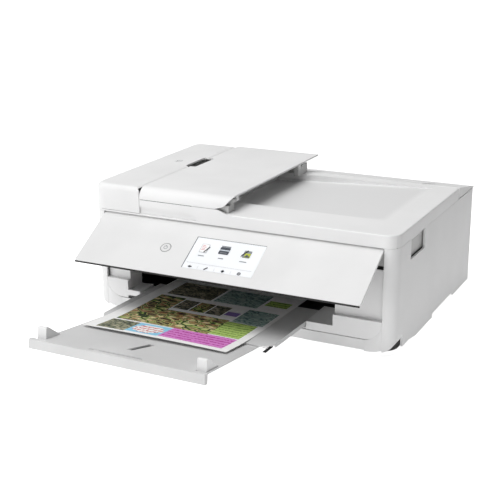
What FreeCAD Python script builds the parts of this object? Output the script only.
import FreeCAD, Part
import math
import os
import re

# Inkjet all-in-one printer, in millimetres.
# X is right, Y is back, Z is up.  The sub-parts are drawn about the centre of the case, on the table,
# and each finished one is then moved so that the origin is under the centre of the whole machine,
# drawn-out tray included.  The tray and the control panel are in their working positions.

Vector = FreeCAD.Vector

os.makedirs("parts", exist_ok=True)
doc = FreeCAD.newDocument("InkjetPrinter")

# ---------------------------------------------------------------- driving dimensions

SIZES = {
    "case_half_width": 234, "case_half_depth": 183, "case_top": 152, "lid_top": 170, "feeder_top": 193,
    "case_underside": 2, "wall": 3, "skin": 2.5, "corner_radius": 18, "rear_corner_radius": 10,
    "lid_back": 97, "rear_cover_front": 101, "rear_edge_height": 153.5, "feeder_back": 127,
    "feeder_seam": -155, "document_edge": -9, "machine_centre": -127.13,
    "lid_axis_y": 130, "lid_axis_z": 158, "hinge_pin_radius": 1.4, "running_gap": 0.05,
    "panel_axis_y": -180, "panel_axis_z": 147.5, "panel_half_width": 215, "panel_length": 98,
    "panel_tilt": 59, "panel_rise": 2, "panel_pin_radius": 1.5,
    "sill_low": 22.5, "sill_high": 50, "shelf_top": 34, "sill_radius": 25,
    "tray_left": -157, "tray_right": 106, "tray_slope": 2, "tray_height": 33, "tray_thickness": 6,
    "tray_front": -293, "tray_back": -130,
    "extension_left": -154, "extension_right": 88, "extension_slope": 7.4, "extension_height": 34.5,
    "extension_joint": -290,
    "cassette_half_width": 192, "cassette_back": 112, "cassette_floor": 6.5, "cassette_front_top": 21.5,
    "cassette_wall_top": 19, "paper_centre": -37, "letter_width": 216, "letter_length": 279,
    "scanner_bottom": 124, "scanner_half_width": 229.5, "scanner_front": -172, "scanner_back": 95.5,
    "roller_radius": 7, "feed_y": 52, "feed_z": 50, "exit_y": -24, "exit_z": 51, "exit_radius": 6,
    "rod_radius": 4, "rod_y": 64, "rod_z": 102, "belt_y": 74, "belt_width": 5, "belt_z": 92,
    "pulley_radius": 6, "pulley_x": 190, "carriage_left": 100, "carriage_right": 198,
    "side_plate": 204,
}

sheet = doc.addObject("Spreadsheet::Sheet", "Sizes")
for row, (alias, size) in enumerate(SIZES.items(), start=1):
    sheet.set(f"A{row}", alias)
    sheet.set(f"B{row}", str(size))
    sheet.setAlias(f"B{row}", alias)
doc.recompute()


def value(alias):
    """A driving dimension, read back from the spreadsheet."""
    return float(sheet.get(alias))


def bound(text):
    """An expression in which every spreadsheet alias is written as FreeCAD wants it."""
    def prefixed(match):
        word = match.group(0)
        return f"Sizes.{word}" if word in SIZES else word
    return re.sub(r"[a-z][a-z_]*", prefixed, str(text))


# ---------------------------------------------------------------- building blocks

def place(obj, x, y, z):
    for name, text in (("x", x), ("y", y), ("z", z)):
        obj.setExpression(f"Placement.Base.{name}", bound(text))


def box(label, x0, x1, y0, y1, z0, z1):
    """A block between two corners, its sizes bound to the spreadsheet."""
    obj = doc.addObject("Part::Box", label)
    for size, low, high in (("Length", x0, x1), ("Width", y0, y1), ("Height", z0, z1)):
        obj.setExpression(size, bound(f"({high}) - ({low})"))
    place(obj, x0, y0, z0)
    return obj


TURNS = {
    "x": FreeCAD.Rotation(Vector(0, 1, 0), 90),
    "y": FreeCAD.Rotation(Vector(1, 0, 0), -90),
    "z": FreeCAD.Rotation(),
}


def rod(label, axis, radius, low, high, across, along):
    """A cylinder along one axis; across and along are its other two coordinates, in X, Y, Z order."""
    obj = doc.addObject("Part::Cylinder", label)
    obj.setExpression("Radius", bound(radius))
    obj.setExpression("Height", bound(f"({high}) - ({low})"))
    obj.Placement = FreeCAD.Placement(Vector(), TURNS[axis])
    centre = {"x": (low, across, along), "y": (across, low, along), "z": (across, along, low)}[axis]
    place(obj, *centre)
    return obj


def fused(label, *pieces):
    obj = doc.addObject("Part::MultiFuse", label)
    obj.Shapes = list(pieces)
    return obj


def cut(label, base, *tools):
    obj = doc.addObject("Part::Cut", label)
    obj.Base = base
    obj.Tool = tools[0] if len(tools) == 1 else fused(label + "_tools", *tools)
    return obj


def group(label, *pieces):
    """Separate solids that share one node."""
    obj = doc.addObject("Part::Compound", label)
    obj.Links = list(pieces)
    return obj


PLANES = {"xy": "XY_Plane", "xz": "XZ_Plane", "yz": "YZ_Plane"}


def corner_arc(before, corner, after, radius):
    """The two tangent points and the middle point of a rounded corner."""
    point = Vector(corner[0], corner[1], 0)
    to_before = (Vector(before[0], before[1], 0) - point).normalize()
    to_after = (Vector(after[0], after[1], 0) - point).normalize()
    half = to_before.getAngle(to_after) / 2
    reach = radius / math.tan(half)
    middle = (to_before + to_after).normalize()
    centre = point + middle * (radius / math.sin(half))
    return point + to_before * reach, centre - middle * radius, point + to_after * reach


def outline(sketch, corners):
    """A closed outline of straight sides; each corner is (u, v) or (u, v, radius)."""
    count = len(corners)
    stations = []
    for index, corner in enumerate(corners):
        radius = corner[2] if len(corner) > 2 else 0
        if radius:
            stations.append(corner_arc(corners[index - 1], corner, corners[(index + 1) % count], radius))
        else:
            point = Vector(corner[0], corner[1], 0)
            stations.append((point, None, point))
    for index, (first, middle, last) in enumerate(stations):
        if middle is not None:
            sketch.addGeometry(Part.Arc(first, middle, last))
        following = stations[(index + 1) % count][0]
        if (following - last).Length > 1e-6:
            sketch.addGeometry(Part.LineSegment(last, following))


def slab(label, plane, corners, low, high):
    """A pad of a sketched outline, between two positions along the plane's normal (X, Y or Z)."""
    body = doc.addObject("PartDesign::Body", label)
    sketch = body.newObject("Sketcher::SketchObject", label + "_sketch")
    support = [item for item in body.Origin.OriginFeatures if item.Role == PLANES[plane]][0]
    sketch.AttachmentSupport = [(support, "")]
    sketch.MapMode = "FlatFace"
    # The normal of FreeCAD's XZ plane is -Y, so a slab there starts at its far side.
    start = f"-({high})" if plane == "xz" else low
    sketch.setExpression("AttachmentOffset.Base.z", bound(start))
    outline(sketch, corners)
    pad = body.newObject("PartDesign::Pad", label + "_pad")
    pad.Profile = sketch
    pad.setExpression("Length", bound(f"({high}) - ({low})"))
    body.Tip = pad
    return body


def turned(label, axis, profile, across, along):
    """A revolved piece along the X or Y axis; profile is (place along the axis, radius) corners."""
    body = doc.addObject("PartDesign::Body", label)
    sketch = body.newObject("Sketcher::SketchObject", label + "_sketch")
    support = [item for item in body.Origin.OriginFeatures if item.Role == "XY_Plane"][0]
    sketch.AttachmentSupport = [(support, "")]
    sketch.MapMode = "FlatFace"
    outline(sketch, [(x, radius) for x, radius in profile])
    revolution = body.newObject("PartDesign::Revolution", label + "_turn")
    revolution.Profile = sketch
    revolution.ReferenceAxis = (sketch, ["H_Axis"])
    revolution.Angle = 360
    body.Tip = revolution
    if axis == "y":
        body.Placement = FreeCAD.Placement(Vector(), FreeCAD.Rotation(Vector(0, 0, 1), 90))
        place(body, across, 0, along)
    else:
        place(body, 0, across, along)
    return body


def tilted(obj, angle, y, z):
    """Turn a piece that was made level about an X line through (y, z)."""
    obj.Placement = FreeCAD.Placement(Vector(0, y, z), FreeCAD.Rotation(Vector(1, 0, 0), angle))
    return obj


def rounded_top(label, body, radius, height):
    """A fillet along the upper outline of a pad."""
    doc.recompute()
    edges = []
    for index, edge in enumerate(body.Shape.Edges, start=1):
        if abs(edge.BoundBox.ZMin - height) < 0.01 and abs(edge.BoundBox.ZMax - height) < 0.01:
            edges.append(f"Edge{index}")
    base = body.Tip
    fillet = body.newObject("PartDesign::Fillet", label)
    fillet.Base = (base, edges)
    fillet.Radius = radius
    body.Tip = fillet
    return body


NODES = []


def node(obj, label):
    """Name a finished sub-part, which its file is named after, and bring it to the machine's own origin."""
    obj.Label = label + "_shape"
    placed = doc.addObject("Part::Compound", label)
    placed.Links = [obj]
    placed.setExpression("Placement.Base.y", bound("-machine_centre"))
    placed.Label = label
    NODES.append(placed)


# ---------------------------------------------------------------- the case

HALF = value("case_half_width")
FRONT = -value("case_half_depth")
BACK = value("case_half_depth")
WALL = value("wall")
SKIN = value("skin")
CASE_TOP = value("case_top")
LID_TOP = value("lid_top")
HANDHOLD = (-16, 82)
FINGER_RECESS = (-127, -67)


def base_case():
    """The lower tray: floor, cassette guides and the raised hand-holds under each side."""
    floor = slab("base_floor", "xy", [(-228, -172, 22), (228, -172, 22), (228, 178), (-228, 178)],
                 "case_underside", "case_underside + wall")
    nose = slab("base_nose", "yz", [(-190, 0), (-92, 0), (-92, 2), (-122, 4), (-190, 4)], -240, 240)
    pieces = [floor]
    openings = []
    for side, name in ((-1, "left"), (1, "right")):
        low, high = sorted((side * 205, side * 232))
        openings.append(box(f"base_{name}_opening", low, high, HANDHOLD[0], HANDHOLD[1], 0, 6))
        pieces.append(box(f"base_{name}_guide", *sorted((side * 196, side * 199)), -176, 150, 4, 20))
    roofs = []
    for side, name in ((-1, "left"), (1, "right")):
        low, high = sorted((side * 202, side * 228))
        roofs.append(box(f"base_{name}_roof", low, high, HANDHOLD[0] - 3, HANDHOLD[1] + 3, 8, 10))
        low, high = sorted((side * 202, side * 205))
        roofs.append(box(f"base_{name}_web", low, high, HANDHOLD[0] - 3, HANDHOLD[1] + 3, 4, 9))
        for end, place_y in (("front", HANDHOLD[0] - 3), ("rear", HANDHOLD[1])):
            low, high = sorted((side * 202, side * 228))
            roofs.append(box(f"base_{name}_{end}", low, high, place_y, place_y + 3, 4, 9))
    tray = cut("base_open", fused("base_solid", *pieces), nose, *openings)
    holes = [rod(f"base_screw_hole_{n}", "z", 1.6, 0, 6, x, y) for n, (x, y) in enumerate(SCREW_PLACES)]
    node(cut("base_case", fused("base_body", tray, *roofs), *holes), "base_case")


SCREW_PLACES = [(-215, -120), (215, -120), (-215, 120), (215, 120), (-120, 165), (120, 165)]
FOOT_PLACES = [(-205, -140), (205, -140), (-205, 155), (205, 155)]


def side_cover(side, name):
    """One side wall with its rounded corner posts, finger recess and hand-hold."""
    corners = [
        (216, FRONT), (HALF, FRONT, value("corner_radius")), (HALF, BACK, value("rear_corner_radius")),
        (214, BACK), (214, BACK - WALL), (HALF - WALL, BACK - WALL, 7),
        (HALF - WALL, FRONT + WALL, value("corner_radius") - WALL), (216, FRONT + WALL),
    ]
    corners = [(side * corner[0],) + corner[1:] for corner in corners]
    if side < 0:
        corners.reverse()
    wall = slab(f"{name}_wall", "xy", corners, "case_underside", "case_top")
    handhold = slab(f"{name}_handhold", "yz", [(HANDHOLD[0], 0), (HANDHOLD[1] + 10, 0), (HANDHOLD[1], 8, 3),
                                               (HANDHOLD[0], 8, 3)], -240, 240)
    chin = slab(f"{name}_chin", "yz", [(-190, 0), (-92, 0), (-92, 2), (-122, 7, 20), (-190, 7)], -240, 240)
    recess = slab(f"{name}_recess", "yz", [(FINGER_RECESS[0], 123, 2), (FINGER_RECESS[1], 123, 2),
                                           (FINGER_RECESS[1], 153), (FINGER_RECESS[0], 153)], -240, 240)
    block = box(f"{name}_toe_block", *sorted((side * 212, side * 240)), -190, -150, 0, 24)
    toe = cut(f"{name}_toe", block, rod(f"{name}_toe_round", "y", 22, -191, -149, side * 212, 24 + 5))
    low, high = sorted((side * 216.5, side * 220))
    ear = box(f"{name}_ear", low, high, FRONT + 0.4, -174, 141, 150.5)
    bore = rod(f"{name}_ear_bore", "x", "panel_pin_radius + running_gap", side * 218.25 - 4,
               side * 218.25 + 4, "panel_axis_y", "panel_axis_z")
    gusset = box(f"{name}_gusset", *sorted((side * 219, side * 224)), -180.5, -176, 141, 150.5)
    shell = cut(f"{name}_shell", wall, handhold, chin, recess, toe)
    node(cut(f"{name}_cover", fused(f"{name}_cover_body", shell, ear, gusset), bore), f"side_cover_{name}")


def front_frame():
    """The fixed front: sill plates, shelves beside the tray and the walls behind the panel."""
    low = value("sill_low")
    high = value("sill_high")
    shelf = value("shelf_top")
    radius = value("sill_radius")
    left_plate = slab("sill_left", "xz", [(-215.7, high), (-215.7, low, radius), (-180, low), (-180, 26.5),
                                          (-160, 26.5), (-160, shelf + 1), (-180, shelf + 1), (-180, high)],
                      "-case_half_depth", "wall - case_half_depth")
    right_plate = slab("sill_right", "xz", [(107, low), (215.7, low, radius), (215.7, high), (146, high),
                                            (146, shelf), (107, shelf)],
                       "-case_half_depth", "wall - case_half_depth")
    pieces = [
        left_plate, right_plate,
        box("sill_floor", -181, 148, -181, -125, "sill_low", "sill_low + 1.6"),
        box("shelf_left", -182, -160, -181, -144, "shelf_top - 2", "shelf_top"),
        box("shelf_left_web", -162, -160, -181, -144, "sill_low", "shelf_top"),
        box("shelf_right", 107, 148, -181, -119, "shelf_top - 2", "shelf_top"),
        box("shelf_right_web", 107, 109, -181, -125, "sill_low", "shelf_top"),
        box("ledge_left", -215.7, -179, -181, -175, "sill_high - 2", "sill_high"),
        box("ledge_right", 146, 215.7, -181, -175, "sill_high - 2", "sill_high"),
        box("step_left", -182, -180, -181, -144, "shelf_top - 2", "sill_high"),
        box("step_right", 146, 148, -181, -119, "shelf_top - 2", "sill_high"),
        box("back_left", -215.7, -180, -175.5, -173.5, "sill_high - 2", 120),
        box("back_right", 146, 215.7, -175.5, -173.5, "sill_high - 2", 120),
        box("cheek_left", -182, -180, -175.5, -144, "sill_high - 2", 120),
        box("cheek_right", 146, 148, -175.5, -119, "sill_high - 2", 120),
        box("guide_right", 126, 148, -122, -119, "shelf_top - 2", 120),
    ]
    node(fused("front_frame", *pieces), "front_frame")


def paper_exit_duct():
    """The dark channel through which printed sheets leave the mechanism."""
    pieces = [
        box("duct_left", -182, -180, -143.8, -60, 24.5, 120),
        box("duct_right", 124, 126, -118.8, -60, 24.5, 120),
        box("duct_roof", -182, 126, -143.8, -60, 118, 120),
        box("duct_back", -182, 126, -62, -60, 72, 120),
        box("duct_floor", -182, 126, -118.8, -60, 20.6, 21.8),
        box("duct_floor_left", -182, -180, -118.8, -60, 20.6, 26),
        box("duct_floor_right", 124, 126, -118.8, -60, 20.6, 26),
    ]
    node(fused("paper_exit_duct", *pieces), "paper_exit_duct")


def rear_case():
    """The back wall, with its inlet opening and a row of cooling slots."""
    wall = box("rear_wall", -213.5, 213.5, "case_half_depth - wall", "case_half_depth", 5.2, "case_top")
    hatch = box("rear_hatch_relief", -194, 159, 175, 190, 147.6, 160)
    inlet = box("rear_inlet_hole", -175.5, -144.5, 175, 190, 27.5, 48.5)
    port = box("rear_port_hole", 149.5, 165.5, 175, 190, 25.5, 45.5)
    slots = [box(f"rear_slot_{n}", 60 + 12 * n, 66 + 12 * n, 175, 190, 60, 90) for n in range(7)]
    node(cut("rear_case", wall, hatch, inlet, port, *slots), "rear_case")


def slope(y):
    """Height of the rear cover's sloping top."""
    fall = (LID_TOP - value("rear_edge_height")) / (BACK - value("lid_back"))
    return LID_TOP - fall * (y - value("lid_back"))


REAR_HATCH = (-187, 152, 141)
HATCH_AXIS = (180.2, 150.9)
GAP = value("running_gap")


def rear_top_cover():
    """The sloping rear cover with the hatch opening and the outer hinge ears."""
    front = value("rear_cover_front")
    profile = [(front, CASE_TOP + 0.2), (front, slope(front), 1.5), (BACK, slope(BACK), 1.2),
               (BACK, CASE_TOP + 0.2),
               (BACK - SKIN, CASE_TOP + 0.2), (BACK - SKIN - 6, slope(BACK - SKIN - 6) - SKIN),
               (front + SKIN, slope(front) - SKIN), (front + SKIN, CASE_TOP + 0.2)]
    shell = slab("rear_cover_shell", "yz", profile, "1 - case_half_width", "case_half_width - 1")
    ends = []
    end_profile = [(front, CASE_TOP + 0.2), (front, slope(front), 1.5), (BACK, slope(BACK), 1.2),
                   (BACK, CASE_TOP + 0.2)]
    for side, name in ((-1, "left"), (1, "right")):
        low, high = sorted((side * (HALF - 1), side * (HALF - 1 - SKIN)))
        ends.append(slab(f"rear_cover_end_{name}", "yz", end_profile, low, high))
    hatch = box("rear_hatch_hole", REAR_HATCH[0], REAR_HATCH[1], REAR_HATCH[2], 190, 140, 180)
    notches = []
    ears = []
    for side, name in ((-1, "left"), (1, "right")):
        low, high = sorted((side * 174, side * 187.6))
        notches.append(box(f"rear_notch_{name}", low, high, 99, "lid_axis_y + 3.4", 140, 175))
        low, high = sorted((side * 188, side * 194))
        ears.append(rod(f"rear_ear_{name}", "x", 2.6, low, high, "lid_axis_y", "lid_axis_z"))
        ears.append(box(f"rear_ear_web_{name}", low, high, "lid_axis_y - 4", "lid_axis_y + 4",
                        "lid_axis_z", "lid_axis_z + 4.2"))
    bores = [rod(f"rear_ear_bore_{n}", "x", "hinge_pin_radius + running_gap", low, high,
                 "lid_axis_y", "lid_axis_z") for n, (low, high) in enumerate(((-196, -186), (186, 196)))]
    body = fused("rear_cover_body", cut("rear_cover_open", fused("rear_cover_solid", shell, *ends), hatch,
                                        *notches), *ears)
    hatch_bore = rod("rear_hatch_bore", "x", 1.2 + GAP, REAR_HATCH[0] - 4.5, REAR_HATCH[1] + 4.5,
                     *HATCH_AXIS)
    node(cut("rear_top_cover", body, hatch_bore, *bores), "rear_top_cover")


def rubber_feet():
    feet = [rod(f"foot_{n}", "z", 8, 0, "case_underside", x, y) for n, (x, y) in enumerate(FOOT_PLACES)]
    node(group("rubber_feet", *feet), "rubber_feet")


def case_screws():
    screws = []
    for n, (x, y) in enumerate(SCREW_PLACES):
        head = rod(f"screw_head_{n}", "z", 3, "case_underside - 1.2", "case_underside", x, y)
        shank = rod(f"screw_shank_{n}", "z", 1.5, "case_underside - 0.5", 9, x, y)
        screws.append(fused(f"screw_{n}", head, shank))
    node(group("case_screws", *screws), "case_screws")


# ---------------------------------------------------------------- the print mechanism

def chassis_frame():
    """The bent steel frame that carries the rollers, the rod and the motors."""
    plates = [box("frame_back", "-side_plate", "side_plate", 84, 85.5, 22, 116)]
    for side, name in ((-1, "left"), (1, "right")):
        low, high = sorted((side * value("side_plate"), side * (value("side_plate") + 1.5)))
        plates.append(box(f"frame_{name}", low, high, -50, 85.5, 22, 116))
    frame = fused("frame_solid", *plates)
    bores = [
        rod("frame_feed_bore", "x", 3.05, -210, 210, "feed_y", "feed_z"),
        rod("frame_exit_bore", "x", 3.05, -210, 210, "exit_y", "exit_z"),
        rod("frame_rod_bore", "x", "rod_radius", -210, 210, "rod_y", "rod_z"),
        rod("frame_motor_bore", "y", 3, 80, 90, "pulley_x", "belt_z"),
    ]
    node(cut("chassis_frame", frame, *bores), "chassis_frame")


def carriage_rod():
    node(rod("carriage_rod", "x", "rod_radius", -207, 207, "rod_y", "rod_z"), "carriage_rod")


def platen():
    """The ribbed support under the print line."""
    deck = box("platen_deck", -186, 150, -10, 40, 50, 54)
    ribs = [box(f"platen_rib_{n}", -180 + 22 * n, -178 + 22 * n, -10, 40, 53, 57) for n in range(15)]
    legs = [box("platen_leg_left", -186, -182, -10, 40, 22, 51),
            box("platen_leg_right", 146, 150, -10, 40, 22, 51)]
    node(fused("platen", deck, *ribs, *legs), "platen")


def roller(label, ring_radius, across, along, pulley):
    """A steel shaft with rubber sleeves and, at its left end, a belt pulley."""
    profile = [(-213, 0), (-213, pulley), (-207, pulley), (-207, 3), (-184, 3)]
    for start in range(-180, 140, 64):
        profile += [(start, 3), (start, ring_radius), (start + 44, ring_radius), (start + 44, 3)]
    profile += [(206.5, 3), (206.5, 0)]
    node(turned(label, "x", profile, across, along), label)


def belt_loop(label, plane, centre_a, centre_b, radius, low, high):
    """A flat belt around two equal pulleys whose centres are given in the sketch plane."""
    thickness = 1.4
    along = Vector(centre_b[0] - centre_a[0], centre_b[1] - centre_a[1], 0)
    unit = Vector(along).normalize()
    across = Vector(-unit.y, unit.x, 0)

    def ring(name, reach):
        ends = []
        for centre, sign in ((centre_a, -1), (centre_b, 1)):
            point = Vector(centre[0], centre[1], 0) + unit * (sign * reach)
            for turn in (sign, -sign):
                corner = point - across * (turn * reach)
                ends.append((corner.x, corner.y, reach - 0.001))
        return slab(name, plane, ends, low, high)

    outer = ring(label + "_outer", radius + thickness)
    inner = ring(label + "_inner", radius)
    node(cut(label, outer, inner), label)


def carriage_drive():
    """Belt, motor and the two pulleys that pull the carriage."""
    reach = value("pulley_x")
    belt_loop("carriage_belt", "xz", (-reach, value("belt_z")), (reach, value("belt_z")),
              value("pulley_radius") + 0.3, "belt_y", "belt_y + belt_width")
    can = rod("motor_can", "y", 13, 86, 112, "pulley_x", "belt_z")
    boss = rod("motor_bore", "y", "1.5 + running_gap", 85, 100, "pulley_x", "belt_z")
    node(cut("carriage_motor", can, boss), "carriage_motor")
    for side, name, shaft_end in ((1, "drive", 96), (-1, "idler", 83.5)):
        wheel = rod(f"{name}_wheel", "y", "pulley_radius", "belt_y", "belt_y + belt_width",
                    f"{side} * pulley_x", "belt_z")
        flange = rod(f"{name}_flange", "y", "pulley_radius + 2.5", "belt_y - 1.5", "belt_y - 0.3",
                     f"{side} * pulley_x", "belt_z")
        shaft = rod(f"{name}_shaft", "y", 1.5, "belt_y - 1", shaft_end, f"{side} * pulley_x", "belt_z")
        node(fused(f"carriage_{name}_pulley", wheel, flange, shaft), f"carriage_{name}_pulley")


def feed_drive():
    """Motor on the feed roller's end, and the belt to the exit roller."""
    can = rod("feed_can", "x", 13, -228, -214.5, "feed_y", "feed_z")
    mount = box("feed_mount", -228, -226, 30, 74, 10.5, 66)
    node(fused("feed_motor", can, mount), "feed_motor")
    belt_loop("feed_belt", "yz", (value("exit_y"), value("exit_z")), (value("feed_y"), value("feed_z")),
              12.3, -212.5, -207.5)


def carriage():
    """The carriage box with its rod bearing and belt clamp; it parks at the right."""
    low = value("carriage_left")
    high = value("carriage_right")
    shell = cut("carriage_shell", box("carriage_outer", low, high, -22, 56, 67, 92),
                box("carriage_well", low + 2, high - 2, -20, 54, 69.5, 100))
    bearing = box("carriage_bearing", low, high, 56, 70, 67, 109)
    arm = box("carriage_arm", 140, 160, 69, 81.5, 78, 91)
    bore = rod("carriage_bore", "x", "rod_radius + running_gap", low - 1, high + 1, "rod_y", "rod_z")
    gap = box("carriage_belt_gap", 139, 161, 73.4, 79.7, 82.5, 92)
    node(cut("carriage", fused("carriage_body", shell, bearing, arm), bore, gap), "carriage")
    node(box("print_head", 108, 190, -12, 42, 60, 66.9), "print_head")


INKS = (("pigment", 23, "ink_tank_pigment_black"), ("black", 16, "ink_tank_black"),
        ("cyan", 16, "ink_tank_cyan"), ("magenta", 16, "ink_tank_magenta"),
        ("yellow", 16, "ink_tank_yellow"))


def ink_tanks():
    """Five tanks side by side, each with a finger tab on top."""
    left = value("carriage_left") + 2.5
    for name, width, label in INKS:
        body = box(f"{name}_tank", left, left + width, -19, 53, 69.6, 112)
        tab = box(f"{name}_tab", left + 3, left + width - 3, -21, -18.5, 96, 110)
        node(fused(label, body, tab), label)
        left += width + 1.2


def maintenance_station():
    """The parking station at the right: a tub, and the cap that seals the print head."""
    tub = cut("station_tub", box("station_block", 152, 203, -45, 48, 22, 46),
              box("station_well", 155, 200, -42, 45, 25, 60))
    node(tub, "maintenance_station")
    cap = fused("capping_unit", box("cap_stem", 168, 186, -10, 20, 32, 54),
                box("cap_plate", 158, 197, -14, 44, 53, 59.7))
    node(cap, "capping_unit")


def electrics():
    """Power supply, mains inlet and main board at the back of the base."""
    node(box("power_supply", -200, -60, 116, 168, 24, 62), "power_supply")
    body = box("inlet_body", -175, -145, 168.5, 182.5, 28, 48)
    socket = slab("inlet_socket", "xz",
                  [(-171, 31, 5.5), (-149, 31, 5.5), (-149, 45, 5.5), (-171, 45, 5.5)], 172, 190)
    pins = [rod(f"inlet_pin_{n}", "y", 1.2, 171, 180, x, 38) for n, x in enumerate((-164, -156))]
    node(fused("mains_inlet", cut("inlet_shell", body, socket), *pins), "mains_inlet")
    board = box("board_sheet", 0, 195, 118, 176, 26, 27.6)
    chips = [box(f"board_chip_{n}", 20 + 36 * n, 38 + 36 * n, 130, 148, 27.5, 30) for n in range(4)]
    port = cut("board_port", box("board_port_block", 150, 165, 166, 182.5, 27.5, 45),
               box("board_port_hole", 152.5, 162.5, 172, 190, 33, 42))
    node(fused("main_board", board, *chips, port), "main_board")


# ---------------------------------------------------------------- the scanner

SCAN_GLASS = (-200, 118, -160, 66)


def scanner_unit():
    """The scanner: lower case with its guide rail, top frame, glass and scan bar."""
    half = value("scanner_half_width")
    front = value("scanner_front")
    back = value("scanner_back")
    outer = slab("scanner_outer", "xy",
                 [(-half, front, 14), (half, front, 14), (half, back, 4), (-half, back, 4)],
                 "scanner_bottom", 146)
    well = box("scanner_well", -half + SKIN, half - SKIN, front + SKIN, back - SKIN,
               "scanner_bottom + skin", 150)
    rail = box("scanner_rail", -half + 1, half - 1, -58, -52, "scanner_bottom + 1", 131)
    node(fused("scanner_case", cut("scanner_tub", outer, well), rail), "scanner_case")
    frame = slab("scanner_lid", "xy",
                 [(-half, front, 14), (half, front, 14), (half, back, 4), (-half, back, 4)],
                 146.1, 151.4)
    x0, x1, y0, y1 = SCAN_GLASS
    window = box("scanner_window", x0 + 6, x1 - 6, y0 + 6, y1 - 6, 140, 160)
    rebate = box("scanner_rebate", x0, x1, y0, y1, 148.3, 160)
    node(cut("scanner_frame", frame, window, rebate), "scanner_frame")
    node(box("platen_glass", x0 + 0.3, x1 - 0.3, y0 + 0.3, y1 - 0.3, 148.4, 151.2), "platen_glass")
    bar = box("scan_bar_block", -192, -172, -150, 56, 128.5, 147.5)
    groove = box("scan_bar_groove", -200, -160, -58.3, -51.7, 120, 131.3)
    node(cut("scan_bar", bar, groove), "scan_bar")


def hinge_brackets():
    """Steel straps behind the scanner that rise to the common rear hinge line, with their pins."""
    straps = []
    for side, name in ((-1, "left"), (1, "right")):
        low, high = sorted((side * 181, side * 187))
        strap = box(f"strap_{name}", low, high, "scanner_back + 0.2", "scanner_back + 3", 128,
                    "lid_axis_z + 2.2")
        arm = box(f"strap_arm_{name}", low, high, "scanner_back + 0.2", "lid_axis_y",
                  "lid_axis_z - 2.2", "lid_axis_z + 2.2")
        knuckle = rod(f"strap_knuckle_{name}", "x", 2.4, low, high, "lid_axis_y", "lid_axis_z")
        low, high = sorted((side * 175, side * 195))
        pin = rod(f"strap_pin_{name}", "x", "hinge_pin_radius", low, high, "lid_axis_y", "lid_axis_z")
        straps.append(fused(f"bracket_{name}", strap, arm, knuckle, pin))
    node(group("hinge_brackets", *straps), "hinge_brackets")


# ---------------------------------------------------------------- the document cover

FEEDER_AXIS = (-232.6, 156.4)
FEEDER_LUGS = (-120, 60)
TRAY_AXIS = (-11, 186)


def cover_shell():
    """The document cover: dished output recess, rebate for the feeder's skirts and strip below its tray."""
    back = value("lid_back")
    seam = value("feeder_seam") + 0.5
    outer = slab("lid_outer", "xy",
                 [(-HALF, FRONT, 18), (HALF, FRONT, 18), (HALF, back, 3), (-HALF, back, 3)],
                 "case_top + 0.3", "lid_top")
    rounded_top("lid_edge", outer, 2, LID_TOP)
    dish = slab("lid_dish", "xz", [(-58, 158), (197, 169.3), (197, 180), (-58, 180)], -118, 78)
    inner = box("lid_hollow_block", -HALF + WALL + 4, HALF - WALL, FRONT + WALL + 4, back - 7,
                CASE_TOP - 1, LID_TOP - SKIN)
    dish_below = slab("lid_dish_below", "xz", [(-61, 155.4), (200, 166.8), (200, 180), (-61, 180)], -121,
                      81)
    hollow = cut("lid_hollow", inner, dish_below)
    skirt_ring = cut("lid_skirt_ring", box("lid_skirt_block", -240, -58, -190, 110, CASE_TOP + 2.5, 180),
                     slab("lid_skirt_core", "xy", [(-HALF + 3.4, FRONT + 3.4, 14.6), (-50, FRONT + 3.4),
                                                   (-50, 120), (-HALF + 3.4, 120)], 150, 182))
    strip = slab("lid_strip", "xz",
                 [(seam, 165.2), (-68, 165.2, 9), (-60, 154.4), (-20, 154.4), (-20, 166), (-6, 166),
                                     (-6, 169.6), (-14, 169.6, 12), (-28, 175.3, 8), (seam, 175.3)],
                 FRONT, FRONT + 3.4)
    lugs = []
    for n, y in enumerate(FEEDER_LUGS):
        lugs.append(box(f"lid_lug_{n}", -233.6, -230, y, y + 5, CASE_TOP + 2.2, 157.6))
        lugs.append(rod(f"lid_lug_pin_{n}", "y", 0.8, y - 4, y + 9, *FEEDER_AXIS))
    notches = []
    ears = []
    for side, name in ((-1, "left"), (1, "right")):
        low, high = sorted((side * 174, side * 188))
        notches.append(box(f"lid_notch_{name}", low, high, 93.4, 100, 140, 162.5))
        low, high = sorted((side * 175.5, side * 180.5))
        ears.append(rod(f"lid_ear_{name}", "x", 2.5, low, high, "lid_axis_y", "lid_axis_z"))
        ears.append(box(f"lid_ear_arm_{name}", low, high, 92, "lid_axis_y", "lid_axis_z - 2.2",
                        "lid_axis_z + 2.2"))
    bores = [rod(f"lid_ear_bore_{n}", "x", "hinge_pin_radius + running_gap", low, high,
                 "lid_axis_y", "lid_axis_z") for n, (low, high) in enumerate(((-182, -174), (174, 182)))]
    shell = cut("lid_shell", outer, dish, hollow, skirt_ring, *notches)
    node(cut("cover_shell", fused("lid_body", shell, strip, *ears, *lugs), *bores), "cover_shell")
    node(slab("pressure_pad", "xy", [(-222, -172, 6), (222, -172, 6), (222, 86, 6), (-222, 86, 6)],
              "case_top + 0.4", "case_top + 3"), "pressure_pad")


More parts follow.
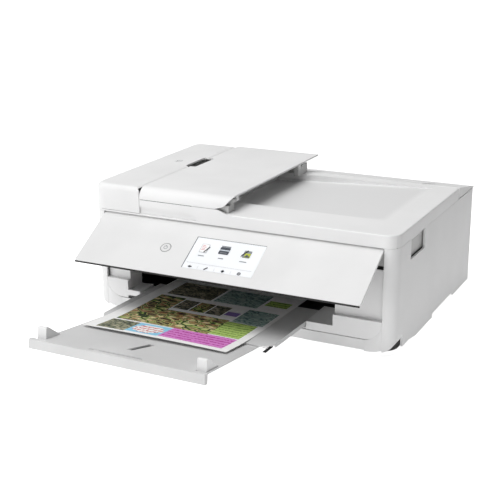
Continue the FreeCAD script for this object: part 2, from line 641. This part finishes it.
def feeder():
    """The document feeder on the left of the cover: housing, cover, tray, rollers and guides."""
    seam = value("feeder_seam")
    back = value("feeder_back")
    top = value("feeder_top")
    deck = slab("housing_deck", "xy", [(-229, FRONT + 4, 14), (-60, FRONT + 4), (-60, 96), (-229, 96)],
                LID_TOP + 0.2, LID_TOP + 4)
    tower = box("housing_tower", -180, -118, -100, 80, LID_TOP + 3.5, 183)
    throat = rod("housing_throat", "y", 9.4, -70, 20, -150, 180)
    mouth = box("housing_mouth", -159.4, -140.6, -70, 20, 180, 190)
    axle = rod("housing_axle_bore", "y", "2.5 + running_gap", -90, 40, -150, 180)
    rail = box("housing_rail", -229, -222, -170, 90, LID_TOP + 3.5, 176)
    rear = box("housing_rear", -118, -14, 84, 94, LID_TOP + 0.2, 186)
    pillar = box("housing_pillar", -22, -14, 60, 94, LID_TOP + 0.2, 186)
    leg = box("housing_leg", -30, -14, -176, -160, LID_TOP + 0.2, 180)
    post = box("housing_post", -22, -14, -168, -160, LID_TOP + 0.2, 187)
    hinges = []
    for name, y, reach in (("rear", 60, -10), ("front", -168, 10)):
        hinges.append(rod(f"housing_ear_{name}", "y", 2.4, y, y + 6, *TRAY_AXIS))
        hinges.append(box(f"housing_ear_web_{name}", -16, TRAY_AXIS[0], y, y + 6, TRAY_AXIS[1] - 2.4,
                          TRAY_AXIS[1] + 2.4))
        low, high = sorted((y + 3, y + 3 + reach + (3 if reach > 0 else -3)))
        hinges.append(rod(f"housing_pin_{name}", "y", 1.2, low, high, *TRAY_AXIS))
    body = fused("housing_solid", deck, tower, rail, rear, pillar, leg, post)
    node(fused("feeder_housing_body", cut("housing_open", body, throat, mouth, axle), *hinges),
         "feeder_housing")

    outer = slab("feeder_outer", "xy",
                 [(-HALF, FRONT, 18), (seam - 0.3, FRONT), (seam - 0.3, back, 2), (-HALF, back, 18)],
                 CASE_TOP + 3.2, "feeder_top")
    rounded_top("feeder_edge", outer, 8, top)
    inner = slab("feeder_inner", "xy", [(-HALF + SKIN, FRONT + SKIN, 15.5), (seam + 10, FRONT + SKIN),
                                        (seam + 10, back - SKIN), (-HALF + SKIN, back - SKIN, 15.5)], 140,
                 top - SKIN)
    under = box("feeder_rear_opening", -240, -150, 96.6, 140, 140, top - 6)
    notch = slab("feeder_notch", "xy",
                 [(seam - 9, -34, 4), (seam + 4, -34), (seam + 4, 28), (seam - 9, 28, 4)], top - 6, top + 2)
    bore = rod("feeder_cover_bore", "y", "0.8 + running_gap", -130, 80, *FEEDER_AXIS)
    pockets = [box(f"feeder_lug_pocket_{n}", -240, -229, y - 0.5, y + 5.5, 150, 158.6) for n,
               y in enumerate(FEEDER_LUGS)]
    node(cut("feeder_cover_body", outer, inner, under, notch, bore, *pockets), "feeder_cover")

    edge = value("document_edge")
    skirt = 175.9
    profile = [(FRONT, skirt), (FRONT, top, 17), (back, top), (back, top - SKIN),
               (FRONT + SKIN, top - SKIN, 14.5),
               (FRONT + SKIN, skirt)]
    plate = slab("tray_plate", "yz", profile, "feeder_seam + 0.3", "document_edge")
    corner = slab("tray_corner", "xz", [(-40, 160), (edge + 6, 160), (edge + 6, top - 1), (edge, top - 1),
                                        (-18, 180, 14), (-33, skirt - 0.1, 10), (-40, skirt - 0.1)],
                  FRONT - 1, -160)
    notch = slab("tray_notch", "xy",
                 [(seam - 4, -34), (seam + 9, -34, 4), (seam + 9, 28, 4), (seam - 4, 28)], top - 6, top + 2)
    barrels = []
    for name, y in (("rear", 51), ("front", -160)):
        solid = fused(f"tray_barrel_solid_{name}",
                      rod(f"tray_barrel_rod_{name}", "y", 2.4, y, y + 7, *TRAY_AXIS),
                      box(f"tray_barrel_web_{name}", TRAY_AXIS[0] - 1.5, TRAY_AXIS[0] + 1.5, y, y + 7,
                          TRAY_AXIS[1], top - 1))
        barrels.append(cut(f"tray_barrel_{name}", solid,
                           rod(f"tray_barrel_bore_{name}", "y", "1.2 + running_gap",
                                                             y - 2, y + 9, *TRAY_AXIS)))
    trimmed = cut("tray_trimmed", plate, corner, notch)
    node(fused("document_tray", trimmed, *barrels), "document_tray")

    profile = [(-80, 0), (-80, 2.5), (-60, 2.5), (-60, 8.4), (10, 8.4), (10, 2.5), (30, 2.5), (30, 0)]
    node(turned("feeder_roller", "y", profile, -150, 180), "feeder_roller")
    for name, y in (("front", -112), ("rear", 58)):
        foot = box(f"guide_foot_{name}", -114, -64, y - 8, y + 8, LID_TOP + 4.4, LID_TOP + 6)
        fence = box(f"guide_fence_{name}", -114, -64, y - 1, y + 1, LID_TOP + 5.5, 185)
        label = f"document_guide_{name}"
        node(fused(label, foot, fence), label)


# ---------------------------------------------------------------- the control panel

SCREEN = (-49, 57, 24, 81)
POWER_BUTTON = (-87.4, 51.6)


def control_panel():
    """The tilting panel, made shut about its own hinge line and then tilted open."""
    half = value("panel_half_width")
    rise = value("panel_rise")
    foot = rise - value("panel_length")
    face = -3
    shell_back = 0
    tilt = (-value("panel_tilt"), value("panel_axis_y"), value("panel_axis_z"))
    button_x = POWER_BUTTON[0]
    button_z = rise - POWER_BUTTON[1]

    plate = slab("panel_plate", "xz",
                 [(-half, foot, 4), (half, foot, 4), (half, rise, 2), (-half, rise, 2)], face, shell_back)
    window = box("panel_window", SCREEN[0], SCREEN[1], face - 1, face + 1.2, rise - SCREEN[3],
                 rise - SCREEN[2])
    button_hole = rod("panel_button_hole", "y", 7.3, face - 1, shell_back + 1, button_x, button_z)
    node(tilted(cut("panel_shell", plate, window, button_hole), *tilt), "panel_shell")

    back_profile = [(0.1, foot + 1.5), (0.1, -3), (4, -6), (4, foot + 12), (1.5, foot + 1.5)]
    back = slab("panel_back_plate", "yz", back_profile, "2 - panel_half_width", "panel_half_width - 2")
    pins = [rod(f"panel_pin_{name}", "x", "panel_pin_radius", *sorted((side * 205, side * 221)), 0, 0)
            for side, name in ((-1, "left"), (1, "right"))]
    arms = [box(f"panel_arm_{name}", *sorted((side * 205, side * 212)), 0.1, 2, -5, 1.5)
            for side, name in ((-1, "left"), (1, "right"))]
    well = box("panel_button_well", button_x - 9, button_x + 9, 0, 2.6, button_z - 9, button_z + 9)
    rear = cut("panel_back_open", back, well)
    node(tilted(fused("panel_back", rear, *pins, *arms), *tilt), "panel_back")

    screen = slab("screen_block", "xz",
                  [(SCREEN[0] + 0.2, rise - SCREEN[3] + 0.2, 1),
                   (SCREEN[1] - 0.2, rise - SCREEN[3] + 0.2, 1),
                                         (SCREEN[1] - 0.2, rise - SCREEN[2] - 0.2, 1),
                   (SCREEN[0] + 0.2, rise - SCREEN[2] - 0.2, 1)],
                  face + 0.2, face + 1.1)
    node(tilted(screen, *tilt), "touch_screen")
    button = fused("power_button", rod("button_cap", "y", 7, face - 0.3, face + 2, button_x, button_z),
                   rod("button_stem", "y", 3, face + 1, face + 4, button_x, button_z))
    node(tilted(button, *tilt), "power_button")


# ---------------------------------------------------------------- the output tray

def output_tray():
    """First stage: a slightly rising plate on side rails, made level about the front sill."""
    sill = FRONT
    front = value("tray_front") - sill
    rear = value("tray_back") - sill
    left = value("tray_left")
    right = value("tray_right")
    deep = value("tray_thickness")
    plate = slab("tray_deck", "xy", [(left, front, 16), (right, front, 16), (right, rear), (left, rear)],
                 -2, 0)
    rails = [box("tray_rail_left", left, left + 2, front + 16, rear, -deep, -1),
             box("tray_rail_right", right - 2, right, front + 16, rear, -deep, -1)]
    rear_bar = box("tray_rear_bar", left, right, rear - 3, rear, -deep + 1, -1)
    tray = fused("output_tray", plate, *rails, rear_bar)
    tray.Placement = FreeCAD.Placement(Vector(0, sill, value("tray_height")),
                                       FreeCAD.Rotation(Vector(1, 0, 0), -value("tray_slope")))
    node(tray, "output_tray")


STOPPERS = (("left", -160, -146.5), ("right", 72.5, 85.5))
STOPPER_AXIS = (-105.6, -1.4)


def tray_extension():
    """Second stage with its front lip and two sprung sheet stoppers, made level about its joint."""
    joint = (-value("extension_slope"), value("extension_joint"), value("extension_height"))
    left = value("extension_left")
    right = value("extension_right")
    lip_front = -147
    deck = slab("extension_deck", "xy",
                [(left, lip_front + 4), (right, lip_front + 4), (right, 4), (left, 4)], -2.4, -0.4)
    lip = slab("extension_lip_bar", "yz",
               [(lip_front, 0.2, 1.5), (lip_front + 7, 0.2), (lip_front + 7, -13, 1.5),
                                           (lip_front, -13, 1.5)], "extension_left - 11",
               "extension_right + 2")
    grip = slab("extension_grip", "xy",
                [(-80, lip_front + 4), (-2, lip_front + 4), (-2, lip_front + 13, 4),
                 (-80, lip_front + 13, 4)],
                -3, 2)
    catch = box("extension_catch", -72, -64, lip_front + 6, lip_front + 10, -2.4, 0)
    wells = [box(f"extension_well_{name}", low - 0.5, high + 0.5, lip_front + 7, STOPPER_AXIS[0] + 1.8,
                 -4, 3)
             for name, low, high in STOPPERS]
    bores = [rod(f"extension_bore_{name}", "x", 0.6 + GAP, low - 2.2, high + 2.2, *STOPPER_AXIS)
             for name, low, high in STOPPERS]
    slot = slab("extension_slot", "xy", [(-41, -112), (-33, -112), (-21, -76), (-29, -76)], -4, 0.1)
    body = fused("extension_body", cut("extension_open", deck, grip, slot, *wells, *bores), lip)
    node(tilted(fused("tray_extension", body, catch), *joint), "tray_extension")
    for name, low, high in STOPPERS:
        wedge = slab(f"stopper_{name}_wedge", "yz",
                     [(lip_front + 12, -2), (lip_front + 12, 15, 2), (lip_front + 16, 15, 3),
                                                     (lip_front + 41, 0.5, 1), (lip_front + 41, -2)], low,
                     high)
        knuckle = rod(f"stopper_{name}_knuckle", "x", 1.2, low, high, *STOPPER_AXIS)
        pin = rod(f"stopper_{name}_pin", "x", 0.6, low - 2, high + 2, *STOPPER_AXIS)
        node(tilted(fused(f"stopper_{name}_body", wedge, knuckle, pin), *joint), f"tray_stopper_{name}")


def printed_sheet():
    """One letter-size sheet lying on the tray, its back end still inside the duct."""
    centre = value("paper_centre")
    reach = value("letter_width") / 2
    lift = 0.8

    def over(y):
        tray = value("tray_height") + math.tan(math.radians(value("tray_slope"))) * (FRONT - y)
        rise = math.tan(math.radians(value("extension_slope"))) * (value("extension_joint") - y)
        return max(tray, value("extension_height") + rise) + lift
    back_end, front_end = -69, -348
    stations = [back_end, -130, FRONT, value("tray_front") - 2, -312, front_end]
    upper = [(y, over(y) + 0.3) for y in stations]
    lower = [(y, over(y)) for y in reversed(stations)]
    node(slab("printed_sheet", "yz", upper + lower, centre - reach, centre + reach), "printed_sheet")


# ---------------------------------------------------------------- the cassette

def cassette():
    """The front paper cassette with its sliding paper guides."""
    half = value("cassette_half_width")
    back = value("cassette_back")
    floor_z = value("cassette_floor")
    top = value("cassette_wall_top")
    tub = cut("cassette_tub", box("cassette_block", -half, half, FRONT + 3, back, floor_z, top),
              box("cassette_well", -half + 2, half - 2, FRONT + 6, back - 2, floor_z + 1.8, 40))
    face = box("cassette_face", -half, half, FRONT, FRONT + 3.5, floor_z + 0.3, value("cassette_front_top"))
    step = slab("cassette_step", "xz", [(-180, 25), (-180, 4, 10), (106, 4, 10), (106, 25)], FRONT - 1,
                FRONT + 1)
    node(fused("cassette", tub, cut("cassette_front", face, step)), "cassette")
    centre = value("paper_centre")
    reach = value("letter_width") / 2 + 0.8
    for side, name in ((-1, "left"), (1, "right")):
        edge = centre + side * reach
        fence = box(f"fence_{name}", *sorted((edge, edge + side * 2)), -130, 40, floor_z + 2.2, top - 0.5)
        foot = box(f"fence_foot_{name}", *sorted((edge, edge + side * 24)), -70, -30, floor_z + 2.2,
                   floor_z + 4)
        node(fused(f"cassette_guide_{name}", fence, foot), f"cassette_guide_{name}")
    stop_y = FRONT + 6 + value("letter_length") + 0.8
    stop = box("rear_stop_fence", centre - 30, centre + 30, stop_y, stop_y + 2, floor_z + 2.2, top - 0.5)
    foot = box("rear_stop_foot", centre - 12, centre + 12, stop_y, stop_y + 6, floor_z + 2.2, floor_z + 4)
    node(fused("cassette_rear_guide", stop, foot), "cassette_rear_guide")


# ---------------------------------------------------------------- the rear tray

def rear_tray():
    """The hatch over the rear paper slot and the paper support that slides out of it."""
    x0, x1, y0 = REAR_HATCH
    front = y0 + 0.5
    rear = HATCH_AXIS[0] + 1.9
    profile = [(front, slope(front) - SKIN), (front, slope(front)), (rear, slope(rear), 1.6),
               (rear, HATCH_AXIS[1] - 0.6, 1),
               (HATCH_AXIS[0] - 3, HATCH_AXIS[1] - 0.4)]
    lid = slab("hatch_plate", "yz", profile, x0 + 0.5, x1 - 0.5)
    pins = [rod(f"hatch_pin_{n}", "x", 1.2, low, high, *HATCH_AXIS) for n, (low, high) in
            enumerate(((x0 - 4, x0 + 6), (x1 - 6, x1 + 4)))]
    node(fused("rear_tray_cover", lid, *pins), "rear_tray_cover")
    support = slab("support_plate", "yz",
                   [(146, slope(146) - 5.5), (146, slope(146) - 4), (174, slope(174) - 4),
                                           (174, slope(174) - 5.5)], -150, 74)
    node(support, "paper_support")


for build in (base_case, front_frame, paper_exit_duct, rear_case, rear_top_cover, rubber_feet, case_screws,
              chassis_frame, carriage_rod, platen, carriage_drive, feed_drive, carriage, ink_tanks,
              maintenance_station, electrics, scanner_unit, hinge_brackets, cover_shell, feeder,
              control_panel, output_tray, tray_extension, printed_sheet, cassette, rear_tray):
    build()
side_cover(-1, "left")
side_cover(1, "right")
roller("feed_roller", value("roller_radius"), "feed_y", "feed_z", 12)
roller("exit_roller", value("exit_radius"), "exit_y", "exit_z", 12)
doc.recompute()

for obj in doc.Objects:
    if "Invalid" in obj.State or "Error" in obj.State:
        raise RuntimeError(f"{obj.Label} did not compute: {obj.State}")
for obj in NODES:
    if obj.Shape.isNull() or not obj.Shape.isValid():
        raise RuntimeError(f"{obj.Label} has no valid shape")
    obj.Shape.exportStep(f"parts/{obj.Label}.step")
